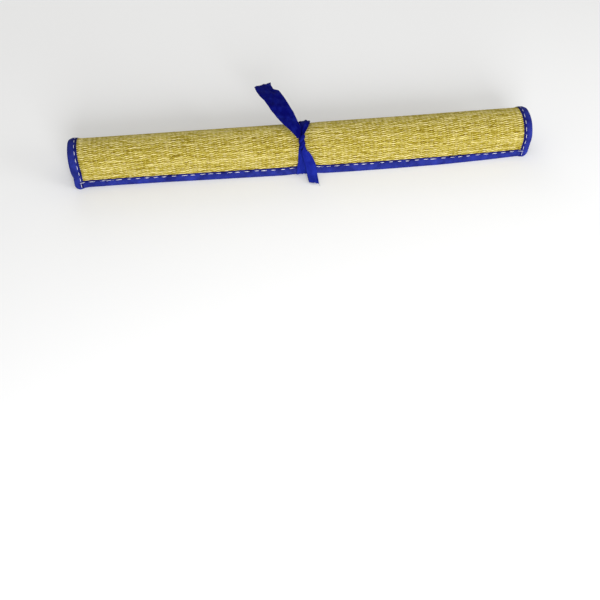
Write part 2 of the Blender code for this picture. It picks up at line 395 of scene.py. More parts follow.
class Nodes:
    """Adds shader nodes to one material and joins them."""

    def __init__(self, name: str) -> None:
        """Starts an empty material.

        Args:
            name: The material's name.
        """
        self.material = bpy.data.materials.new(name)
        self.material.use_nodes = True
        self.tree = self.material.node_tree
        self.shader = self.tree.nodes["Principled BSDF"]

    def add(
        self, kind: str, links: dict[str, object] | None = None, **values: object
    ) -> bpy.types.Node:
        """Adds a node.

        Args:
            kind: Node type without its ShaderNode prefix.
            links: Input name to an output socket or a constant.
            values: Properties of the node.

        Returns:
            The new node.
        """
        node = self.tree.nodes.new("ShaderNode" + kind)
        for key, value in values.items():
            setattr(node, key, value)
        for key, value in (links or {}).items():
            self.feed(node.inputs[int(key) if key.isdigit() else key], value)
        return node

    def feed(self, socket: Socket, value: object) -> None:
        """Joins a value to a socket.

        Args:
            socket: The input.
            value: An output to link, or a constant to set.
        """
        if isinstance(value, bpy.types.NodeSocket):
            self.tree.links.new(value, socket)
        else:
            socket.default_value = value

    def flat_map(self) -> Socket:
        """Returns the piece's flat map, in metres."""
        return self.add("UVMap", uv_map=FLAT_MAP).outputs["UV"]

    def tones(self) -> bpy.types.bpy_prop_collection:
        """Returns the channels of the tone attribute: tone, then float or dip."""
        tone = self.add("Attribute", attribute_name=TONE)
        return self.add("SeparateColor", {"Color": tone.outputs["Color"]}).outputs

    def maths(self, operation: str, first: object, second: object, third: object = 0.0) -> Socket:
        """Returns the output of a Math node."""
        return self.add("Math", {"0": first, "1": second, "2": third}, operation=operation).outputs[0]

    def swung(self, grain: Socket, weight: float, base: Socket, drop: float = 0.0) -> Socket:
        """Swings a grain of 0 to 1 about the middle and adds it to a base.

        Args:
            grain: The grain.
            weight: How far it swings in all.
            base: What it is added to.
            drop: How much the whole is lowered.

        Returns:
            The sum.
        """
        return self.maths("MULTIPLY_ADD", grain, weight, self.maths("SUBTRACT", base, 0.5 * weight + drop))

    def stretched(self, source: object, scale: Triple) -> Socket:
        """Returns source scaled by a Mapping node."""
        return self.add("Mapping", {"Vector": source, "Scale": scale}).outputs["Vector"]

    def noise(self, source: Socket, scale: Triple, detail: float, roughness: float) -> Socket:
        """Returns the factor of a Noise Texture, stretched differently along each axis."""
        grain = {"Scale": 1.0, "Detail": detail, "Roughness": roughness}
        return self.add("TexNoise", {"Vector": self.stretched(source, scale), **grain}).outputs["Fac"]

    def ribs(self, source: Socket, axis: Axis, length: float) -> Socket:
        """Adds straight ribs across one axis.

        Args:
            source: Where the ribs are read.
            axis: The axis that they are counted along.
            length: Distance from rib to rib.

        Returns:
            The factor of a Wave Texture.
        """
        links = {"Vector": self.stretched(source, axis.value), "Scale": WAVE_SCALE / length}
        return self.add("TexWave", links, bands_direction=axis.name).outputs["Fac"]

    def bump(self, height: Socket, strength: float, distance: float) -> Socket:
        """Returns the normal of a Bump node."""
        links = {"Height": height, "Strength": strength, "Distance": distance}
        return self.add("Bump", links).outputs["Normal"]

    def ramp(self, factor: Socket, stops: tuple[tuple[float, Triple], ...]) -> Socket:
        """Adds a Color Ramp.

        Args:
            factor: Its factor.
            stops: The place and colour of each stop.

        Returns:
            The colour.
        """
        node = self.add("ValToRGB", {"Fac": factor})
        points = node.color_ramp.elements
        while len(points) < len(stops):
            points.new(0.5)
        for point, (place, colour) in zip(points, stops):
            point.position = place
            point.color = (*colour, 1.0)
        return node.outputs["Color"]

    def mix(self, factor: Socket, first: Triple, second: Triple) -> Socket:
        """Returns a mix of two colours."""
        links = {"0": factor, "6": (*first, 1.0), "7": (*second, 1.0)}
        return self.add("Mix", links, data_type="RGBA", blend_type="MIX").outputs[2]

    def surface(self, **sockets: object) -> bpy.types.Material:
        """Feeds the Principled shader.

        Args:
            sockets: Socket names with underscores for spaces, and their values.

        Returns:
            The finished material.
        """
        for key, value in sockets.items():
            self.feed(self.shader.inputs[key.replace("_", " ")], value)
        return self.material


@dataclass(frozen=True)
class StrawFinish:
    """Dried reed: gold with olive and brown streaks along each stalk, a little waxy."""

    name: str = "straw"
    shade: Triple = (0.125, 0.080, 0.006)
    olive: Triple = (0.285, 0.220, 0.016)
    gold: Triple = (0.466, 0.389, 0.067)
    pale: Triple = (0.760, 0.665, 0.300)
    stops: tuple[float, ...] = (0.05, 0.30, 0.55, 0.86)
    fibre_scale: Triple = (60.0, 5200.0, 1.0)
    patch_scale: Triple = (22.0, 420.0, 1.0)
    fleck_scale: Triple = (300.0, 720.0, 1.0)
    fibre_tone: float = 0.34
    patch_tone: float = 0.44
    fleck_tone: float = 0.90
    # Painted light and shade of the weave: reeds paler where they float over a warp thread, darker where
    # they dip under one.
    weave_light_shade: float = 0.17
    dip_end: float = 0.22
    float_start: float = 0.78
    relief: float = 0.0002
    relief_strength: float = 0.35
    smoothest: float = 0.50
    roughest: float = 0.74
    gloss: float = 0.04

    def material(self) -> bpy.types.Material:
        """Builds the material.

        Returns:
            The straw.
        """
        n = Nodes(self.name)
        flat, tones = n.flat_map(), n.tones()
        fibres = n.noise(flat, self.fibre_scale, 3.0, 0.6)
        patches = n.noise(flat, self.patch_scale, 2.0, 0.5)
        flecks = n.noise(flat, self.fleck_scale, 2.0, 0.6)
        # Painted light on the floats and painted shade in the dips, from the weave mask.
        floats = n.add("MapRange", {
            "Value": tones[1], "From Min": self.dip_end, "From Max": self.float_start,
            "To Min": -self.weave_light_shade, "To Max": self.weave_light_shade,
        }, interpolation_type="SMOOTHSTEP")
        factor = n.maths("ADD", tones[0], floats.outputs["Result"])
        grains = ((fibres, self.fibre_tone), (patches, self.patch_tone), (flecks, self.fleck_tone))
        for grain, weight in grains:
            factor = n.swung(grain, weight, factor)
        colours = (self.shade, self.olive, self.gold, self.pale)
        rough = n.add("MapRange", {"Value": patches, "To Min": self.smoothest, "To Max": self.roughest})
        return n.surface(
            Base_Color=n.ramp(factor, tuple(zip(self.stops, colours))),
            Roughness=rough.outputs["Result"],
            Specular_IOR_Level=self.gloss,
            Normal=n.bump(fibres, self.relief_strength, self.relief),
        )


@dataclass(frozen=True)
class TapeFinish:
    """Woven polyester tape: fine ribs across, a soft sheen and a little lint."""

    name: str
    deep: Triple
    bright: Triple
    rib: float = 0.00075
    yarn: float = 0.00055
    weave_tone: float = 0.28
    patchiness: float = 1.3
    drop: float = 0.10
    patch_scale: Triple = (90.0, 90.0, 1.0)
    lint_scale: Triple = (1500.0, 1500.0, 1.0)
    weave_height: float = 0.7
    lint_height: float = 0.5
    relief: float = 0.00025
    relief_strength: float = 0.45
    roughness: float = 0.76
    gloss: float = 0.03
    sheen: float = 0.001
    sheen_roughness: float = 0.45

    def material(self) -> bpy.types.Material:
        """Builds the material.

        Returns:
            The tape.
        """
        n = Nodes(self.name)
        flat, tones = n.flat_map(), n.tones()
        weave = n.maths("MULTIPLY", n.ribs(flat, Axis.X, self.yarn), n.ribs(flat, Axis.Y, self.rib))
        worn = n.noise(flat, self.patch_scale, 3.0, 0.6)
        lint = n.noise(flat, self.lint_scale, 2.0, 0.6)
        patchy = n.swung(worn, self.patchiness, tones[0], self.drop)
        factor = n.maths("MULTIPLY_ADD", weave, self.weave_tone, patchy)
        lint_relief = n.maths("MULTIPLY", lint, self.lint_height)
        height = n.maths("MULTIPLY_ADD", weave, self.weave_height, lint_relief)
        return n.surface(
            Base_Color=n.mix(factor, self.deep, self.bright),
            Roughness=self.roughness,
            Specular_IOR_Level=self.gloss,
            Sheen_Weight=self.sheen,
            Sheen_Roughness=self.sheen_roughness,
            Normal=n.bump(height, self.relief_strength, self.relief),
        )


@dataclass(frozen=True)
class ThreadFinish:
    """Spun thread with a slight twist."""

    name: str
    colour: Triple
    shade: Triple
    ply_scale: float = 260.0
    ply_distortion: float = 0.6
    fluff_scale: Triple = (900.0, 900.0, 1.0)
    relief: float = 0.0001
    relief_strength: float = 0.4
    roughness: float = 0.8

    def material(self) -> bpy.types.Material:
        """Builds the material.

        Returns:
            The thread.
        """
        n = Nodes(self.name)
        flat = n.flat_map()
        twist = {"Vector": flat, "Scale": self.ply_scale, "Distortion": self.ply_distortion}
        ply = n.add("TexWave", twist, bands_direction="DIAGONAL").outputs["Fac"]
        factor = n.maths("MULTIPLY", ply, n.noise(flat, self.fluff_scale, 2.0, 0.6))
        return n.surface(
            Base_Color=n.mix(factor, self.colour, self.shade),
            Roughness=self.roughness,
            Normal=n.bump(ply, self.relief_strength, self.relief),
        )


@dataclass(frozen=True)
class FloorFinish:
    """Plain pale studio floor."""

    colour: Triple = (0.94, 0.955, 0.98)
    shade: Triple = (0.88, 0.89, 0.91)
    grain_scale: Triple = (14.0, 14.0, 14.0)
    grain: float = 0.05
    roughness: float = 0.9

    def material(self) -> bpy.types.Material:
        """Builds the material.

        Returns:
            The floor's finish.
        """
        n = Nodes("floor")
        grain = n.noise(n.add("TexCoord").outputs["Object"], self.grain_scale, 2.0, 0.5)
        colour = n.mix(n.maths("MULTIPLY", grain, self.grain), self.colour, self.shade)
        return n.surface(Base_Color=colour, Roughness=self.roughness)


@dataclass(frozen=True)
class Workshop:
    """Turns flat bmeshes into finished objects on the roll's form."""

    form: RollForm

    def read(self, mesh: bpy.types.Mesh) -> np.ndarray:
        """Reads a mesh.

        Args:
            mesh: The mesh.

        Returns:
            The places of its vertices as rows.
        """
        places = np.empty(len(mesh.vertices) * 3)
        mesh.vertices.foreach_get("co", places)
        return places.reshape(-1, 3)

    def to_mesh(self, name: str, bm: bmesh.types.BMesh) -> bpy.types.Mesh:
        """Turns a bmesh into a mesh with outward faces.

        Args:
            name: The mesh's name.
            bm: The bmesh, which is freed.

        Returns:
            The mesh.
        """
        bmesh.ops.recalc_face_normals(bm, faces=bm.faces)
        mesh = bpy.data.meshes.new(name)
        bm.to_mesh(mesh)
        bm.free()
        return mesh

    def write_map(self, mesh: bpy.types.Mesh, flat: np.ndarray) -> None:
        """Keeps the flat x and running length as a UV map, in metres.

        Args:
            mesh: The piece's mesh.
            flat: Flat place of each vertex.
        """
        corners = np.empty(len(mesh.loops), dtype=np.int32)
        mesh.loops.foreach_get("vertex_index", corners)
        layer = mesh.uv_layers.new(name=FLAT_MAP)
        layer.uv.foreach_set("vector", flat[corners, :2].astype(np.float32).ravel())

    def write_tone(
        self, mesh: bpy.types.Mesh, tones: np.ndarray, floats: np.ndarray | float = 0.5
    ) -> None:
        """Keeps a tone for each vertex as a colour attribute.

        Args:
            mesh: The piece's mesh.
            tones: The tone of each vertex.
            floats: 1 where a reed floats over a thread, 0 where it dips under one; the straw paints light
                on the floats and shade in the dips from it.
        """
        layer = mesh.color_attributes.new(TONE, "FLOAT_COLOR", "POINT")
        colours = np.ones((len(mesh.vertices), 4), dtype=np.float32)
        colours[:, 0] = tones
        colours[:, 1] = floats
        layer.data.foreach_set("color", colours.ravel())

    def deliver(
        self,
        mesh: bpy.types.Mesh,
        places: np.ndarray,
        material: bpy.types.Material,
        sharp_deg: float = 180.0,
    ) -> bpy.types.Object:
        """Finishes a piece at its place on the roll.

        Args:
            mesh: The piece's mesh, still flat.
            places: Final places of its vertices.
            material: Its material.
            sharp_deg: Edges that bend more than this stay crisp.

        Returns:
            The finished object.
        """
        mesh.vertices.foreach_set("co", places.astype(np.float32).ravel())
        mesh.materials.append(material)
        mesh.update()
        mesh.polygons.foreach_set("use_smooth", [True] * len(mesh.polygons))
        if sharp_deg < 180.0:
            mesh.set_sharp_from_angle(angle=math.radians(sharp_deg))
        made = bpy.data.objects.new(mesh.name, mesh)
        bpy.context.scene.collection.objects.link(made)
        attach(made, "root")
        LOG.info("%s: %d faces", made.name, len(mesh.polygons))
        return made

    def wind(
        self,
        mesh: bpy.types.Mesh,
        flat: np.ndarray,
        material: bpy.types.Material,
        slot: Slot,
        sharp_deg: float = 180.0,
    ) -> bpy.types.Object:
        """Winds a flat piece onto the roll and finishes it.

        Args:
            mesh: The piece's mesh, still flat.
            flat: Flat place of each vertex.
            material: Its material.
            slot: The record's slot; not used.
            sharp_deg: Edges that bend more than this stay crisp.

        Returns:
            The finished object.
        """
        return self.deliver(mesh, self.form.wind(flat), material, sharp_deg)

    def sweep(
        self, bm: bmesh.types.BMesh, edges: list[bmesh.types.BMEdge], step: Vector, steps: int
    ) -> None:
        """Draws edges out in equal steps and closes the ends.

        Args:
            bm: The bmesh.
            edges: Edges of one or more closed outlines.
            step: One step of the sweep.
            steps: How many steps.
        """
        geom = list(edges) + list({vert for edge in edges for vert in edge.verts})
        bmesh.ops.spin(
            bm, geom=geom, cent=(0, 0, 0), axis=(0, 0, 1), dvec=step, angle=0.0, steps=steps,
            use_merge=False, use_normal_flip=False, use_duplicate=False,
        )
        open_edges = [edge for edge in bm.edges if edge.is_boundary]
        bmesh.ops.holes_fill(bm, edges=open_edges, sides=0)


@dataclass
class MatCloth:
    """The one woven cloth of the mat, wound from its loose edge to the core."""

    form: RollForm
    thickness: float = 0.0004
    side_margin: float = 0.0030
    lip_margin: float = 0.0030
    columns: int = 40
    rows: int = 700
    tone: float = 0.10

    def build(self, shop: Workshop, material: bpy.types.Material) -> bpy.types.Object:
        """Builds the cloth that carries the reeds.

        Args:
            shop: The workshop.
            material: Its material.

        Returns:
            The wound cloth.
        """
        bm = bmesh.new()
        bmesh.ops.create_grid(bm, x_segments=self.columns, y_segments=self.rows, size=0.5)
        bmesh.ops.solidify(bm, geom=bm.faces[:], thickness=0.1)
        mesh = shop.to_mesh("mat_cloth", bm)
        flat = shop.read(mesh)
        flat[:, 0] *= self.form.length - 2.0 * self.side_margin
        length = self.form.unrolled - self.lip_margin
        flat[:, 1] = self.lip_margin + (flat[:, 1] + 0.5) * length
        middle = 0.5 * (flat[:, 2].min() + flat[:, 2].max())
        flat[:, 2] = np.sign(flat[:, 2] - middle) * 0.5 * self.thickness
        shop.write_map(mesh, flat)
        shop.write_tone(mesh, np.full(len(flat), self.tone))
        cloth = shop.wind(mesh, flat, material, Slot.STRAW)
        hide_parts("mat_roll")
        return cloth


@dataclass
class Reeds:
    """Reeds of the outer turn, each a flattened stalk along the roll, and their threads."""

    form: RollForm
    name: str
    first: float
    count: int
    spacing: float = 0.0014
    half_width: float = 0.00066
    half_height: float = 0.00042
    sides: int = 6
    thinnest: float = 0.84
    thickest: float = 1.06
    sway: float = 0.00016
    sway_wave: float = 0.30
    rise: float = 0.00007
    rise_wave: float = 0.16
    bound: float = 0.0110
    warp_spacing: float = 0.0056
    warp_jitter: float = 0.0006
    warp_press: float = 0.00013
    warp_radius: float = 0.00016
    warp_sides: int = 4
    warp_sink: float = 0.3
    warp_sway: float = 0.00030
    warp_wave: float = 0.09
    stalk_tone: float = 0.53
    stalk_spread: float = 0.060
    fleck_spread: float = 0.090
    # A few stations carry painted glints (pale) and painted shade specks (dark).
    glint_shade_tone: float = 0.30
    glint_below: float = 0.04
    shade_speck_above: float = 0.94

    @property
    def seed(self) -> int:
        """A seed of this stretch's own, from its place on the mat."""
        return int(self.first * 1e4)

    @property
    def warp_count(self) -> int:
        """How many steps between warp threads the reeds span."""
        return round((self.form.length - 2.0 * self.bound) / self.warp_spacing)

    @property
    def span(self) -> float:
        """Length of a reed between the bindings."""
        return self.warp_count * self.warp_spacing

    def stations(self, flat: np.ndarray) -> np.ndarray:
        """Returns the number of the warp thread at each flat place."""
        return np.rint((flat[:, 0] + 0.5 * self.span) / self.warp_spacing).astype(int)

    def build_reeds(self, shop: Workshop, material: bpy.types.Material) -> bpy.types.Object:
        """Builds the reeds.

        Args:
            shop: The workshop.
            material: Their material.

        Returns:
            The reeds as one object.
        """
        bm = bmesh.new()
        stand = Matrix.Rotation(math.radians(90.0), 4, "Y")
        shape = Matrix.Diagonal((1.0, self.half_width, self.half_height, 1.0))
        for index in range(self.count):
            place = Matrix.Translation((-0.5 * self.span, self.first + index * self.spacing, 0.0))
            bmesh.ops.create_circle(
                bm, cap_ends=False, segments=self.sides, radius=1.0, matrix=place @ shape @ stand
            )
        shop.sweep(bm, bm.edges[:], Vector((self.warp_spacing, 0.0, 0.0)), self.warp_count)
        mesh = shop.to_mesh(f"mat_reeds_{self.name}", bm)
        flat = shop.read(mesh)
        order = np.rint((flat[:, 1] - self.first) / self.spacing).astype(int)
        station = self.stations(flat)
        draw = np.random.default_rng(self.seed)
        size = draw.uniform(self.thinnest, self.thickest, self.count)[order]
        middle = self.first + order * self.spacing
        sway = np.empty(len(flat))
        rise = np.empty(len(flat))
        for index in range(self.count):
            mine = order == index
            sway[mine] = Wobble(self.seed + index, self.sway_wave).at(flat[mine, 0])
            rise[mine] = Wobble(self.seed + Seed.REED_RISE + index, self.rise_wave).at(flat[mine, 0])
        weave = np.where((order + station) % 2 == 0, 1.0, -1.0)
        flat[:, 0] += self.warp_shift()[station]
        flat[:, 1] = middle + (flat[:, 1] - middle) * size + self.sway * sway
        flat[:, 2] = flat[:, 2] * size + self.warp_press * weave + self.rise * rise
        shop.write_map(mesh, flat)
        # The tones carry painted glints and shade specks; the weave mask feeds the straw's painted light on
        # floats and painted shade in dips.
        shop.write_tone(mesh, self.tones(draw)[order, station], 0.5 + 0.5 * weave)
        return shop.wind(mesh, flat, material, Slot.STRAW)

    def warp_shift(self) -> np.ndarray:
        """Returns how far each warp thread lies off its even place along the roll."""
        draw = np.random.default_rng(int(Seed.WARP_PLACES))
        return draw.normal(0.0, self.warp_jitter, self.warp_count + 1)

    def tones(self, draw: np.random.Generator) -> np.ndarray:
        """Draws a tone for each reed and station: stalks differ, flecks differ at random, and a few
        stations get painted glints (pale) or painted shade specks (dark).

        Args:
            draw: The random draw of this stretch.

        Returns:
            A table of tones with a row for each reed.
        """
        shape = (self.count, self.warp_count + 1)
        stalks = draw.normal(self.stalk_tone, self.stalk_spread, (self.count, 1))
        flecks = draw.normal(0.0, self.fleck_spread, shape)
        # Pale painted glints and dark painted shade specks at a few random stations.
        kinds = draw.random(shape)
        dark = np.where(kinds > self.shade_speck_above, -self.glint_shade_tone, 0.0)
        return stalks + flecks + np.where(kinds < self.glint_below, self.glint_shade_tone, dark)

    def build_warps(self, shop: Workshop, material: bpy.types.Material) -> bpy.types.Object:
        """Builds the cotton threads that hold the reeds, over one and under the next.

        Args:
            shop: The workshop.
            material: Their material.

        Returns:
            The threads as one object.
        """
        bm = bmesh.new()
        stand = Matrix.Rotation(math.radians(90.0), 4, "X")
        start = self.first - 0.5 * self.spacing
        for index in range(1, self.warp_count):
            place = Matrix.Translation((-0.5 * self.span + index * self.warp_spacing, start, 0.0))
            bmesh.ops.create_circle(
                bm, cap_ends=False, segments=self.warp_sides, radius=self.warp_radius, matrix=place @ stand
            )
        shop.sweep(bm, bm.edges[:], Vector((0.0, 0.5 * self.spacing, 0.0)), 2 * self.count)
        mesh = shop.to_mesh(f"mat_warp_threads_{self.name}", bm)
        flat = shop.read(mesh)
        half_steps = np.rint((flat[:, 1] - start) / (0.5 * self.spacing)).astype(int)
        order = (half_steps - 1) // 2
        station = self.stations(flat)
        weave = np.where((order + station) % 2 == 0, -1.0, 1.0)
        over = weave * (self.half_height + self.warp_sink * self.warp_radius)
        flat[:, 2] += np.where(half_steps % 2 == 1, over, 0.0)
        for index in range(1, self.warp_count):
            mine = station == index
            sway = Wobble(Seed.WARP_SWAY + index, self.warp_wave).at(flat[mine, 1])
            flat[mine, 0] += self.warp_sway * sway
        flat[:, 0] += self.warp_shift()[station]
        shop.write_map(mesh, flat)
        return shop.wind(mesh, flat, material, Slot.STRAW)


@dataclass
class Binding:
    """Tape folded over an edge of the mat, with a line of stitches."""

    form: RollForm
    width: float = 0.0120
    stitch_line: float = 0.0090
    proud: float = 0.00085
    wound: float = 0.00058
    stitch_length: float = 0.0066
    stitch_gap: float = 0.0070
    stitch_radius: float = 0.00030
    stitch_flatness: float = 0.8
    pucker_reach: float = 0.0022
    pucker_depth: float = 0.00016
    ripple: float = 0.00005
    ripple_wave: float = 0.02
    tone: float = 0.43
    # Painted light towards the fold and painted shade inside the stitch line, next to the straw.
    fold_light_inner_shade: float = 0.23
    tone_step: float = 0.0012
    crisp_deg: float = 60.0

    @property
    def pitch(self) -> float:
        """Distance from stitch to stitch."""
        return self.stitch_length + self.stitch_gap

    def profile(self) -> list[tuple[float, float]]:
        """Returns the folded tape's section as distance from the edge and height."""
        rows = FOLD + ((0.000, 0.0),) + tuple((away, -high) for away, high in reversed(FOLD))
        return [(away * self.width, high * self.proud) for away, high in rows]

    def ring(self, bm: bmesh.types.BMesh, points: list[Triple]) -> list[bmesh.types.BMEdge]:
        """Adds a closed outline of a few vertices and returns its edges."""
        verts = [bm.verts.new(point) for point in points]
        return [bm.edges.new((vert, after)) for vert, after in zip(verts, verts[1:] + verts[:1])]

    def pucker(self, along: np.ndarray, away: np.ndarray, seed: int) -> np.ndarray:
        """Measures how much the tape is drawn in beside the ends of its stitches.

        Args:
            along: Running length along the tape.
            away: Distance from the mat's edge.
            seed: Seed of the tape's ripple.

        Returns:
            Depths.
        """
        nearest = np.abs(np.mod(along, self.pitch) - 0.5 * self.stitch_gap)
        holes = bell(nearest, self.pucker_reach) * bell(away - self.stitch_line, self.pucker_reach)
        return self.pucker_depth * holes - self.ripple * Wobble(seed, self.ripple_wave).at(along)

    def tones(self, away: np.ndarray) -> np.ndarray:
        """Returns tones: painted light on the fold, and painted shade inside the line of stitches beside
        the straw.
        """
        return self.tone + self.fold_light_inner_shade * np.tanh((self.stitch_line - away) / self.tone_step)

    def stitches(self, rows: list[Triple], along_x: bool) -> bmesh.types.BMesh:
        """Makes stitches lying on the flat tape.

        Args:
            rows: Middle of each stitch as x, running length and height.
            along_x: Whether the stitches run along the roll.

        Returns:
            The stitches, still flat.
        """
        bm = bmesh.new()
        radius = self.stitch_radius
        shape = Matrix.Diagonal((0.5 * self.stitch_length, radius, self.stitch_flatness * radius, 1.0))
        turn = Matrix.Identity(4) if along_x else Matrix.Rotation(math.radians(90.0), 4, "Z")
        stand = Matrix.Rotation(math.radians(90.0), 4, "Y")
        for row in rows:
            bmesh.ops.create_uvsphere(
                bm, u_segments=8, v_segments=8, radius=1.0,
                matrix=Matrix.Translation(row) @ turn @ shape @ stand,
            )
        return bm


@dataclass
class EndBinding(Binding):
    """The tape on one long edge of the mat, wound up with it at one end of the roll."""

    side: Side = Side.RIGHT
    stitch_length: float = 0.0056
    stitch_gap: float = 0.0038
    stitch_radius: float = 0.00021
    stitch_height: float = 0.78
    stitch_sway: float = 0.00025
    corner: float = 0.0055
    outer_steps: int = 170
    outer_run: float = 0.192
    inner_steps: int = 640
    outward_fade: float = 0.012
    inward_fade: float = 0.008
    ragged: float = 0.00022
    drawn_in: float = 0.00030
    fold_half: float = 0.006
    unevenness: float = 0.06
    last_stitch: float = 0.016
    last_inner_stitch: float = 0.006

    def wobble(self, seed: Seed, wavelength: float, run: np.ndarray) -> np.ndarray:
        """Returns this side's own unevenness."""
        return Wobble(seed + self.side.value, wavelength).at(run)

    def heights(self, run: np.ndarray, height: np.ndarray) -> np.ndarray:
        """Thins the tape where turns press on each other.

        Args:
            run: Running lengths from the lip.
            height: Heights of the tape by itself.

        Returns:
            Heights of the wound tape.
        """
        pressed = self.wound / self.proud - 1.0
        hidden = np.clip((run - self.outer_run + self.outward_fade) / self.outward_fade, 0.0, 1.0)
        held = np.clip((run - self.form.flap + self.inward_fade) / self.inward_fade, 0.0, 1.0)
        return height * np.where(height > 0.0, 1.0 + pressed * hidden, 1.0 + pressed * held)

    def runs(self, step: np.ndarray) -> np.ndarray:
        """Spaces the steps of the sweep, closer together on the outer turn.

        Args:
            step: Numbers of steps from the lip.

        Returns:
            Running lengths.
        """
        outer = step / self.outer_steps * self.outer_run
        inner_share = (step - self.outer_steps) / self.inner_steps
        inner = self.outer_run + inner_share * (self.form.unrolled - self.outer_run)
        return np.where(step <= self.outer_steps, outer, inner)

    def build(self, shop: Workshop, material: bpy.types.Material) -> bpy.types.Object:
        """Builds the wound tape.

        Args:
            shop: The workshop.
            material: Its material.

        Returns:
            The tape.
        """
        sign = float(self.side.value)
        edge = 0.5 * self.form.length
        bm = bmesh.new()
        points = [(sign * (edge - away), 0.0, high) for away, high in self.profile()]
        steps = self.outer_steps + self.inner_steps
        shop.sweep(bm, self.ring(bm, points), Vector((0.0, 1.0, 0.0)), steps)
        mesh = shop.to_mesh(f"end_tape_{self.side.name.lower()}", bm)
        flat = shop.read(mesh)
        flat[:, 1] = self.runs(flat[:, 1])
        away = edge - sign * flat[:, 0]
        inside = np.clip(self.corner - flat[:, 1], 0.0, self.corner)
        cut = self.corner - np.sqrt(self.corner**2 - inside**2)
        flat[:, 0] -= sign * cut * (1.0 - away / self.width)
        ragged = self.wobble(Seed.END_INNER_EDGE, 0.05, flat[:, 1])
        flat[:, 0] += sign * self.ragged * ragged * (away / self.width) ** 2
        drawn_in = np.abs(self.wobble(Seed.END_FOLD, 0.11, flat[:, 1]))
        flat[:, 0] -= sign * self.drawn_in * drawn_in * (away < self.fold_half)
        flat[:, 2] = self.heights(flat[:, 1], flat[:, 2])
        uneven = self.wobble(Seed.END_TONE, 0.03, flat[:, 1])
        shop.write_tone(mesh, self.tones(away) + self.unevenness * uneven)
        pucker = self.pucker(flat[:, 1], away, Seed.END_PUCKER + self.side.value)
        flat[:, 2] -= np.sign(flat[:, 2]) * np.where(flat[:, 1] < self.outer_run, pucker, 0.0)
        shop.write_map(mesh, flat)
        tape = shop.wind(mesh, flat, material, Slot.BINDING, self.crisp_deg)
        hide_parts(f"end_binding_{self.side.name.lower()}")
        return tape

    def build_stitches(self, shop: Workshop, material: bpy.types.Material) -> bpy.types.Object:
        """Builds the stitches that show on the outer turn and inside the loose edge.

        Args:
            shop: The workshop.
            material: Their material.

        Returns:
            The stitches.
        """
        x = float(self.side.value) * (0.5 * self.form.length - self.stitch_line)
        high = self.proud * self.stitch_height
        rows = []
        run = 0.5 * self.pitch
        while run < self.outer_run - self.last_stitch:
            rows.append((x, run, high))
            if run < self.form.flap - self.last_inner_stitch:
                rows.append((x, run, -high))
            run += self.pitch
        mesh = shop.to_mesh(f"end_stitches_{self.side.name.lower()}", self.stitches(rows, False))
        flat = shop.read(mesh)
        flat[:, 0] += self.stitch_sway * self.wobble(Seed.END_STITCHES, 0.06, flat[:, 1])
        shop.write_map(mesh, flat)
        return shop.wind(mesh, flat, material, Slot.BINDING)


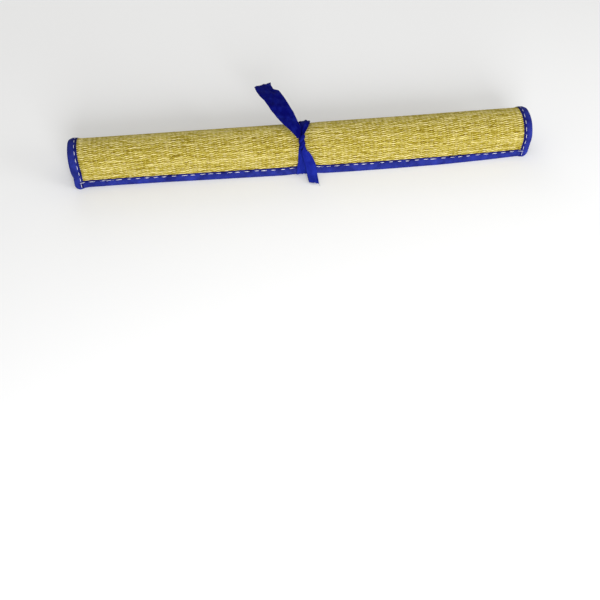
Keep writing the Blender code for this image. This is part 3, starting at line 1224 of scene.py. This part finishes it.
@dataclass
class LipBinding(Binding):
    """The tape on a short edge of the mat: the loose one in front, or the one in the core."""

    width: float = 0.0110
    stitch_line: float = 0.0088
    stitch_length: float = 0.0052
    stitch_gap: float = 0.0066
    stitch_height: float = 0.80
    stitch_sway: float = 0.00025
    stitch_slant: float = 0.12
    stitch_slip: float = 0.0011
    shortest: float = 0.62
    longest: float = 1.25
    first_stitch: float = 0.003
    tie_x: float = -0.0048
    tie_reach: float = 0.0115
    ragged: float = 0.00028
    # Painted light towards the fold and painted shade inside the stitch line, next to the straw.
    tone: float = 0.42
    fold_light_inner_shade: float = 0.22
    unevenness: float = 0.13
    steps: int = 420
    end_margin: float = 0.0114
    in_core: bool = False

    @property
    def reach(self) -> float:
        """How far the tape reaches from the middle, up to the end tapes."""
        return 0.5 * self.form.length - self.end_margin

    def build(self, shop: Workshop, material: bpy.types.Material) -> bpy.types.Object:
        """Builds the folded tape.

        Args:
            shop: The workshop.
            material: Its material.

        Returns:
            The tape.
        """
        bm = bmesh.new()
        points = [(-self.reach, away, high) for away, high in self.profile()]
        step = Vector((2.0 * self.reach / self.steps, 0.0, 0.0))
        shop.sweep(bm, self.ring(bm, points), step, self.steps)
        mesh = shop.to_mesh("core_edge_tape" if self.in_core else "loose_edge_tape", bm)
        flat = shop.read(mesh)
        x, away = flat[:, 0].copy(), flat[:, 1].copy()
        flat[:, 1] += self.ragged * Wobble(Seed.LIP_INNER_EDGE, 0.045).at(x) * (away / self.width) ** 2
        flat[:, 2] -= np.sign(flat[:, 2]) * self.pucker(x, away, Seed.LIP_PUCKER)
        shop.write_tone(mesh, self.tones(away) + self.unevenness * Wobble(Seed.LIP_TONE, 0.09).at(x))
        shop.write_map(mesh, flat[:, [1, 0, 2]])
        if self.in_core:
            flat[:, 1] = self.form.unrolled - flat[:, 1]
            flat[:, 2] *= self.wound / self.proud
        tape = shop.wind(mesh, flat, material, Slot.BINDING, self.crisp_deg)
        if not self.in_core:
            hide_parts("edge_binding")
        return tape

    def stitch_rows(self) -> list[Triple]:
        """Lays out the stitches of both faces, except in front under the tie.

        Returns:
            The middle of each stitch.
        """
        high = self.proud * self.stitch_height
        end = 0.5 * self.form.length - self.first_stitch
        rows = []
        x = -math.floor(end / self.pitch) * self.pitch + 0.5 * self.pitch
        while x < end - 0.5 * self.stitch_length:
            if abs(x - self.tie_x) > self.tie_reach:
                rows.append((x, self.stitch_line, high))
            if x + 0.5 * self.pitch < end - 0.5 * self.stitch_length:
                rows.append((x + 0.5 * self.pitch, self.stitch_line, -high))
            x += self.pitch
        return rows

    def build_stitches(self, shop: Workshop, material: bpy.types.Material) -> bpy.types.Object:
        """Builds the long stitches on both faces of the loose edge.

        Args:
            shop: The workshop.
            material: Their material.

        Returns:
            The stitches.
        """
        rows = self.stitch_rows()
        mesh = shop.to_mesh("loose_edge_stitches", self.stitches(rows, True))
        flat = shop.read(mesh)
        middle = np.repeat([row[0] for row in rows], len(flat) // len(rows))
        order = np.rint(middle / self.pitch).astype(int)
        order -= order.min()
        draw = np.random.default_rng(int(Seed.LIP_STITCH_SIZES))
        shift = draw.normal(0.0, self.stitch_slip, order.max() + 1)[order]
        stretch = draw.uniform(self.shortest, self.longest, order.max() + 1)[order]
        flat[:, 0] = middle + (flat[:, 0] - middle) * stretch + shift
        sway = self.stitch_sway * Wobble(Seed.LIP_STITCHES, 0.12).at(flat[:, 0])
        flat[:, 1] += sway + self.stitch_slant * shift
        shop.write_map(mesh, flat[:, [1, 0, 2]])
        return shop.wind(mesh, flat, material, Slot.BINDING)


@dataclass
class TapeLine:
    """A line of tape in space: places, directions and shape of its section."""

    rows: list[np.ndarray] = field(default_factory=list)

    def add(self, place: np.ndarray, out: np.ndarray, shape: Triple) -> None:
        """Adds one station.

        Args:
            place: The middle of the tape.
            out: The direction that the tape faces.
            shape: Its width, curl and pleat.
        """
        facing = np.asarray(out, float)
        self.rows.append(np.concatenate([place, facing / np.linalg.norm(facing), shape]))

    def resampled(self, spacing: float, passes: int) -> tuple[np.ndarray, np.ndarray, np.ndarray]:
        """Spaces the stations evenly and rounds off their corners.

        Args:
            spacing: Distance between stations in metres.
            passes: How often neighbours are averaged.

        Returns:
            Places, outward directions, and columns of width, curl and pleat.
        """
        given = np.array(self.rows)
        run = running_length(given[:, :3])
        at = np.linspace(0.0, run[-1], int(run[-1] / spacing) + 1)
        rows = np.column_stack([np.interp(at, run, column) for column in given.T])
        for _ in range(passes):
            rows[1:-1] = 0.25 * rows[:-2] + 0.5 * rows[1:-1] + 0.25 * rows[2:]
        return rows[:, :3], unit(rows[:, 3:6]), rows[:, 6:]


@dataclass
class Tie:
    """One tape sewn by its middle to the loose edge, passed round the roll and knotted."""

    form: RollForm
    tape_width: float = 0.024
    thickness: float = 0.00055
    clearance: float = 0.00065
    across_parts: int = 18
    spacing: float = 0.0011
    rounding: int = 3
    crisp_deg: float = 55.0
    knot_top_deg: float = 58.0
    knot_foot_deg: float = 31.0
    knot_top_x: float = -0.0027
    knot_foot_x: float = -0.0030
    knot_lift: float = 0.0043
    strand_offset: float = 0.0023
    strand_width: float = 0.0058
    strand_depth: float = 0.0034
    strand_pleat: float = 0.0003
    strand_stations: int = 15
    long_strand_start: float = 0.24
    long_facing: Triple = (0.0, -0.3, 0.95)
    short_facing: Triple = (0.0, -0.8, 0.6)
    tail_pleat: float = 0.0004
    band_points: int = 150
    band_lift: float = 0.0003
    foot_points: int = 20
    front_foot_deg: float = -44.0
    under_deg: float = 320.0
    band_lap_deg: float = 300.0
    front_overlap_deg: float = 4.0
    top_overlap_deg: float = 9.0
    floor_gap: float = 0.0004
    gather_deg: float = 46.0
    gather_reach_deg: float = 26.0
    stub_deg: float = 104.0
    stub_gather: float = 0.7
    stub_rise: float = 0.0027
    stub_reach_deg: float = 30.0
    band_curl: float = 0.75
    band_pleat: float = 0.0003
    gathered_pleat: float = 0.0005
    curl_turn: float = 0.93
    curl_width: float = 1.02
    probe: float = 1e-3
    loose_reach: float = 0.045
    long_crumple: float = 0.0013
    short_crumple: float = 0.0007
    notch_runs: Triple = (0.0, 0.0180, 0.0245)
    notch_depths: Triple = (0.0, 0.0044, 0.0)
    short_slant: float = 0.0024
    slant_reach: float = 0.012
    # Painted light and shade along the tape: dark where it faces up (the long tail, the knot's top and the
    # stub over the roll), pale where it faces the front (the front band and the short tail).
    painted_shade_places: tuple[float, ...] = (0.0, 0.22, 0.29, 0.36, 0.80, 0.88, 1.0)
    tones: tuple[float, ...] = (0.20, 0.14, 0.02, 0.72, 0.08, 0.50, 0.80)
    unevenness: float = 0.05

    def on_roll(self, turn_deg: float, x: float, lift: float) -> tuple[np.ndarray, np.ndarray]:
        """Finds a place over the squeezed roll.

        Args:
            turn_deg: Angle from the roll's front over its top.
            x: Place along the roll.
            lift: Height over the roll.

        Returns:
            The place, and the direction outwards.
        """
        turn = math.radians(turn_deg)
        out = np.array([0.0, -math.cos(turn), math.sin(turn)])
        radius = self.form.radius - self.form.squeeze_depth + lift
        return np.array([x, 0.0, self.form.axis_height]) + out * radius, out

    def band(self) -> tuple[np.ndarray, np.ndarray, np.ndarray]:
        """Draws the taut loop round the roll, from the foot under, behind and over the top.

        Returns:
            Places in y and z, directions outwards, and angles round the roll.
        """
        low = self.form.squeeze_depth
        points = np.vstack([self.form.outline(self.form.tie_x, self.band_lift), [[0.004, low], [0.0, low]]])
        order = sorted({(round(float(y), 7), round(float(z), 7)) for y, z in points})
        hull = np.array(self.half_hull(order) + self.half_hull(order[::-1]))
        first = int(np.argmin(hull[:, 0] + 0.2 * hull[:, 1]))
        hull = np.vstack([hull[first:], hull[:first + 1]])
        run = running_length(hull)
        at = np.linspace(0.0, run[-1], self.band_points)
        line = np.column_stack([np.interp(at, run, hull[:, axis]) for axis in (0, 1)])
        along = np.gradient(line, axis=0)
        outs = unit(np.column_stack([along[:, 1], -along[:, 0]]))
        turns = np.degrees(np.arctan2(line[:, 1] - self.form.axis_height, -line[:, 0]))
        return line, outs, turns

    @staticmethod
    def half_hull(order: list[tuple[float, float]]) -> list[tuple[float, float]]:
        """Wraps one side of ordered points.

        Args:
            order: The points in order across.

        Returns:
            That side of their convex outline.
        """
        chain: list[tuple[float, float]] = []
        for point in order:
            while len(chain) >= 2:
                a, b = np.subtract(chain[-1], chain[-2]), np.subtract(point, chain[-2])
                if a[0] * b[1] - a[1] * b[0] > 0.0:
                    break
                chain.pop()
            chain.append(point)
        return chain[:-1]

    def add_tail(self, line: TapeLine, rows: tuple[TailStation, ...], out: Triple) -> None:
        """Adds a free end's stations in the given order."""
        for row in rows:
            line.add((row.x, row.y, row.z), out, (row.width, row.curl, self.tail_pleat))

    def add_strand(self, line: TapeLine, first_share: float, start: float) -> None:
        """Adds one strand of the twisted knot, from its top to its foot.

        Args:
            line: The line of tape.
            first_share: How far down the knot the strand begins to turn.
            start: Angle of the strand where it begins, in radians.
        """
        for share in np.linspace(first_share, 1.0, self.strand_stations):
            turn = self.knot_top_deg + share * (self.knot_foot_deg - self.knot_top_deg)
            x = self.knot_top_x + share * (self.knot_foot_x - self.knot_top_x)
            middle, radial = self.on_roll(turn, x, self.knot_lift)
            angle = start + TAU * (share - first_share) / (1.0 - first_share)
            away = np.array([math.cos(angle), 0.0, 0.0]) + radial * math.sin(angle)
            shape = (self.strand_width, 1.0, self.strand_pleat)
            line.add(middle + away * self.strand_offset, away, shape)

    def add_band(self, line: TapeLine, first_deg: float, last_deg: float) -> None:
        """Adds a stretch of the band, in the direction in which it passes round the roll.

        Args:
            line: The line of tape.
            first_deg: Angle where the stretch starts.
            last_deg: Angle where it ends.
        """
        path, outs, turns = self.band()
        turns = np.where(turns < self.front_foot_deg, turns + 360.0, turns)
        at_foot = (turns < self.knot_top_deg) & (np.arange(len(turns)) < self.foot_points)
        turns = np.where(at_foot, turns + 360.0, turns)
        low, high = min(first_deg, last_deg), max(first_deg, last_deg)
        angles = [row.turn_deg for row in BAND]
        for i in np.flatnonzero((turns >= low) & (turns <= high)):
            turn = turns[i] if turns[i] <= self.band_lap_deg else turns[i] - 360.0
            x = float(np.interp(turn, angles, [row.x for row in BAND]))
            width = float(np.interp(turn, angles, [row.width for row in BAND]))
            behind = self.stub_gather * bell(turn - self.stub_deg, self.gather_reach_deg)
            near = max(bell(turn - self.gather_deg, self.gather_reach_deg), behind)
            rise = self.stub_rise * bell(turn - self.stub_deg, self.stub_reach_deg)
            y, z = path[i] + outs[i] * (self.clearance + rise)
            shape = (width, self.band_curl * near, self.band_pleat + self.gathered_pleat * near)
            line.add((x, y, max(z, self.floor_gap)), (0.0, *outs[i]), shape)

    def line(self) -> TapeLine:
        """Lays out the whole tape.

        Returns:
            Its line, from the long free end to the short one.
        """
        line = TapeLine()
        self.add_tail(line, LONG_TAIL[::-1], self.long_facing)
        self.add_strand(line, self.long_strand_start, math.pi)
        self.add_band(line, self.knot_foot_deg - self.front_overlap_deg, self.front_foot_deg)
        self.add_band(line, self.under_deg, self.knot_top_deg + self.top_overlap_deg)
        self.add_strand(line, 0.0, 0.0)
        self.add_tail(line, SHORT_TAIL, self.short_facing)
        return line

    def section(self, u: np.ndarray, shape: np.ndarray) -> tuple[np.ndarray, np.ndarray]:
        """Shapes the tape's section, from an open strip to a curled strand.

        Args:
            u: Place across the tape from -1 to 1.
            shape: Columns of width, curl and pleat.

        Returns:
            Places across and outwards.
        """
        width, curl, pleat = shape.T
        angle = self.curl_turn * math.pi * u
        depth = self.strand_depth * np.clip(curl, 0.0, 1.0)
        open_across = 0.5 * width * u
        curled_across = 0.5 * width * np.sin(angle) * self.curl_width
        across = open_across + (curled_across - open_across) * curl**2
        creases = sum(high * np.cos(waves * math.pi * u + phase) for high, waves, phase in PLEATS)
        return across, 0.5 * depth * np.cos(angle) + pleat * creases

    def skin(self, u: np.ndarray, face: np.ndarray, shape: np.ndarray) -> tuple[np.ndarray, np.ndarray]:
        """Gives the section its thickness.

        Args:
            u: Place across the tape from -1 to 1.
            face: 1 on the outer face, -1 on the inner one.
            shape: Columns of width, curl and pleat.

        Returns:
            Places across and outwards.
        """
        across, outwards = self.section(u, shape)
        next_across, next_outwards = self.section(u + self.probe, shape)
        slope = unit(np.column_stack([next_across - across, next_outwards - outwards]))
        half = 0.5 * self.thickness * face
        return across - slope[:, 1] * half, outwards + slope[:, 0] * half

    def crumple(self, run: np.ndarray, u: np.ndarray, length: float) -> np.ndarray:
        """Makes slanting creases of the two free ends.

        Args:
            run: Running length from the long free end's tip.
            u: Place across the tape from -1 to 1.
            length: Length of the whole tape.

        Returns:
            Heights in metres.
        """
        reach = self.loose_reach
        long_end = np.clip(1.0 - np.abs(run - reach) / reach, 0.0, 1.0)
        short_end = np.clip(1.0 - (length - run) / reach, 0.0, 1.0)
        waves = Wobble(Seed.TIE_WAVES, 0.060, 3).at(run + 0.012 * u)
        slanted = waves + 0.5 * Wobble(Seed.TIE_CREASES, 0.034, 3).at(run - 0.020 * u)
        return (self.long_crumple * np.sqrt(long_end) + self.short_crumple * short_end) * slanted

    def build(self, shop: Workshop, material: bpy.types.Material) -> bpy.types.Object:
        """Builds the whole tape as one thin closed piece.

        Args:
            shop: The workshop.
            material: Its material.

        Returns:
            The tie.
        """
        places, outs, shape = self.line().resampled(self.spacing, self.rounding)
        along = unit(np.gradient(places, axis=0))
        sides = unit(np.cross(along, outs))
        outs = np.cross(sides, along)
        last = len(places) - 1
        bm = bmesh.new()
        bmesh.ops.create_grid(bm, x_segments=self.across_parts, y_segments=last, size=1.0)
        bmesh.ops.solidify(bm, geom=bm.faces[:], thickness=0.2)
        mesh = shop.to_mesh("tie_tape", bm)
        grid = shop.read(mesh)
        row = np.clip(np.rint((grid[:, 1] + 1.0) * 0.5 * last).astype(int), 0, last)
        u = np.clip(grid[:, 0], -1.0, 1.0)
        face = np.sign(grid[:, 2] - 0.5 * (grid[:, 2].min() + grid[:, 2].max()))
        lengths = running_length(places)
        length, run = float(lengths[-1]), lengths[row]
        across, outwards = self.skin(u, face, shape[row])
        outwards = outwards + self.crumple(run, u, length)
        across = across + np.interp(run, self.notch_runs, self.notch_depths) * np.clip(-u, 0.0, 1.0)
        final = places[row] + sides[row] * across[:, None] + outs[row] * outwards[:, None]
        near_tip = np.clip(1.0 - (length - run) / self.slant_reach, 0.0, 1.0)
        final -= along[row] * (self.short_slant * u * near_tip)[:, None]
        final[:, 2] = np.maximum(final[:, 2], 0.0)
        shop.write_map(mesh, np.column_stack([u * 0.5 * self.tape_width, row / last * length]))
        # Painted light and shade along the tape, with random unevenness on top.
        tones = np.interp(run / length, self.painted_shade_places, self.tones)
        shop.write_tone(mesh, tones + self.unevenness * Wobble(Seed.TIE_TONE, 0.02).at(run))
        tie = shop.deliver(mesh, final, material, self.crisp_deg)
        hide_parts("tie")
        long_tip, short_tip = (final[row == 0], -along[0]), (final[row == last], along[-1])
        frays = Frays().build(shop, material, (long_tip, short_tip))
        return tie


@dataclass
class Frays:
    """Short yarn ends at the tie's two cut tips, and one longer thread at the short tip's corner."""

    count: int = 30
    shortest: float = 0.0004
    longest: float = 0.0013
    thread: float = 0.0042
    thread_from: float = 0.95
    thread_aim: Triple = (0.35, -1.0, -0.1)
    spread: float = 0.16
    root: float = 0.0003
    thick: float = 0.00016
    thin: float = 0.00006
    tone: float = 0.45

    def build(
        self, shop: Workshop, material: bpy.types.Material, tips: tuple[tuple[np.ndarray, np.ndarray], ...]
    ) -> bpy.types.Object:
        """Builds the yarn ends.

        Args:
            shop: The workshop.
            material: Their material.
            tips: For each tip its corner places and the direction outwards, the short one last.

        Returns:
            The yarn ends.
        """
        draw = np.random.default_rng(int(Seed.FRAYS))
        bm = bmesh.new()
        for number, (places, ahead) in enumerate(tips):
            order = places[np.argsort(places[:, 0])]
            for share in np.linspace(0.02, 0.98, self.count):
                spot = order[int(share * (len(order) - 1))]
                long = number == 1 and share > self.thread_from
                reach = self.thread if long else draw.uniform(self.shortest, self.longest)
                aim = Vector(ahead) + Vector(draw.normal(0.0, self.spread, 3))
                if long:
                    aim = Vector(self.thread_aim)
                turn = aim.to_track_quat("Z", "Y").to_matrix().to_4x4()
                place = Matrix.Translation(Vector(spot) + aim.normalized() * (0.5 * reach - self.root))
                bmesh.ops.create_cone(
                    bm, cap_ends=True, cap_tris=False, segments=6, radius1=self.thick, radius2=self.thin,
                    depth=reach, matrix=place @ turn,
                )
        mesh = shop.to_mesh("tie_frays", bm)
        places = shop.read(mesh)
        places[:, 2] = np.maximum(places[:, 2], 0.0)
        shop.write_map(mesh, places)
        shop.write_tone(mesh, np.full(len(places), self.tone))
        return shop.deliver(mesh, places, material)


@dataclass(frozen=True)
class Lamp:
    """A soft round light."""

    name: str
    place: Triple
    size: float
    power: float


@dataclass(frozen=True)
class Studio:
    """Floor, lights and camera."""

    camera_x: float = -0.0831
    distance: float = 1.0337
    elevation_deg: float = 42.0
    pan_deg: float = 5.91
    tilt_deg: float = 52.49
    roll_deg: float = -0.10
    focal_px: float = 758.7
    frame_px: float = 600.0
    sensor_mm: float = 36.0
    clip_start: float = 0.01
    floor_half: float = 6.0
    lamps: tuple[Lamp, ...] = (
        Lamp("key", (0.10, -1.62, 0.52), 0.9, 27.5),
        Lamp("fill", (1.45, -0.75, 0.55), 0.9, 8.5),
        Lamp("back", (-0.30, 1.60, 0.70), 1.2, 5.0),
    )
    aim: Triple = (0.0, 0.0, 0.03)
    air: Triple = (1.0, 0.975, 0.925)
    air_strength: float = 0.55

    def place_camera(self) -> bpy.types.Object:
        """Creates the camera at the photograph's place.

        Returns:
            The camera.
        """
        elevation, pan = math.radians(self.elevation_deg), math.radians(self.pan_deg)
        tilt, roll = math.radians(self.tilt_deg), math.radians(self.roll_deg)
        back, high = self.distance * math.cos(elevation), self.distance * math.sin(elevation)
        ahead = Vector(
            (math.sin(pan) * math.cos(tilt), math.cos(pan) * math.cos(tilt), -math.sin(tilt))
        )
        right = ahead.cross(Vector((0.0, 0.0, 1.0))).normalized()
        up = right.cross(ahead)
        turned_right = right * math.cos(roll) + up * math.sin(roll)
        turned_up = up * math.cos(roll) - right * math.sin(roll)
        data = bpy.data.cameras.new("camera")
        data.sensor_width = self.sensor_mm
        data.lens = self.focal_px / self.frame_px * self.sensor_mm
        data.clip_start = self.clip_start
        camera = bpy.data.objects.new("camera", data)
        columns = Matrix((turned_right, turned_up, -ahead)).transposed().to_4x4()
        camera.matrix_world = Matrix.Translation((self.camera_x, -back, high)) @ columns
        bpy.context.scene.collection.objects.link(camera)
        bpy.context.scene.camera = camera
        return camera

    def place_floor(self) -> bpy.types.Object:
        """Creates the pale floor.

        Returns:
            The floor.
        """
        bm = bmesh.new()
        bmesh.ops.create_grid(bm, x_segments=8, y_segments=8, size=self.floor_half)
        mesh = bpy.data.meshes.new("floor")
        bm.to_mesh(mesh)
        bm.free()
        mesh.materials.append(FloorFinish().material())
        floor = bpy.data.objects.new("floor", mesh)
        bpy.context.scene.collection.objects.link(floor)
        return floor

    def place_lights(self) -> None:
        """Creates the soft studio light."""
        for lamp in self.lamps:
            data = bpy.data.lights.new(lamp.name, "AREA")
            data.shape = "DISK"
            data.size = lamp.size
            data.energy = lamp.power
            light = bpy.data.objects.new(lamp.name, data)
            aim = (Vector(self.aim) - Vector(lamp.place)).to_track_quat("-Z", "Y")
            light.matrix_world = Matrix.Translation(lamp.place) @ aim.to_matrix().to_4x4()
            bpy.context.scene.collection.objects.link(light)
        world = bpy.data.worlds.new("studio")
        world.use_nodes = True
        sky = world.node_tree.nodes["Background"].inputs
        sky["Color"].default_value = (*self.air, 1.0)
        sky["Strength"].default_value = self.air_strength
        bpy.context.scene.world = world
        bpy.context.scene.view_settings.view_transform = "Standard"


def build_mat(form: RollForm) -> None:
    """Builds the mat and its tie.

    Args:
        form: The roll's form.
    """
    shop = Workshop(form)
    straw = StrawFinish().material()
    navy = TapeFinish("binding_tape", (0.0022, 0.0018, 0.048), (0.0245, 0.0370, 0.280)).material()
    blue = TapeFinish(
        "tie_tape", (0.0008, 0.0012, 0.105), (0.0125, 0.0240, 0.285), patchiness=1.5
    ).material()
    cotton = ThreadFinish("cotton_warp", (0.66, 0.56, 0.20), (0.44, 0.35, 0.10)).material()
    white = ThreadFinish("white_thread", (0.90, 0.90, 0.94), (0.55, 0.55, 0.70)).material()
    cloth = MatCloth(form).build(shop, straw)
    parts = []
    for reeds in (Reeds(form, "front", 0.0103, 80), Reeds(form, "rear", 0.1223, 78)):
        parts += [reeds.build_reeds(shop, straw), reeds.build_warps(shop, cotton)]
    for side in Side:
        end = EndBinding(form, side=side)
        parts += [end.build(shop, navy), end.build_stitches(shop, white)]
    lip = LipBinding(form)
    parts += [lip.build(shop, navy), lip.build_stitches(shop, white)]
    parts.append(LipBinding(form, steps=160, in_core=True).build(shop, navy))
    Tie(form).build(shop, blue)


def main() -> None:
    """Builds the scene in order."""
    logging.basicConfig(level=logging.INFO, format="%(name)s: %(message)s")
    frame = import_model()
    LOG.info("frame of %d nodes", len(frame["nodes"]))
    studio = Studio()
    studio.place_camera()
    build_mat(RollForm())
    studio.place_floor()
    studio.place_lights()


if __name__ == "__main__":
    main()
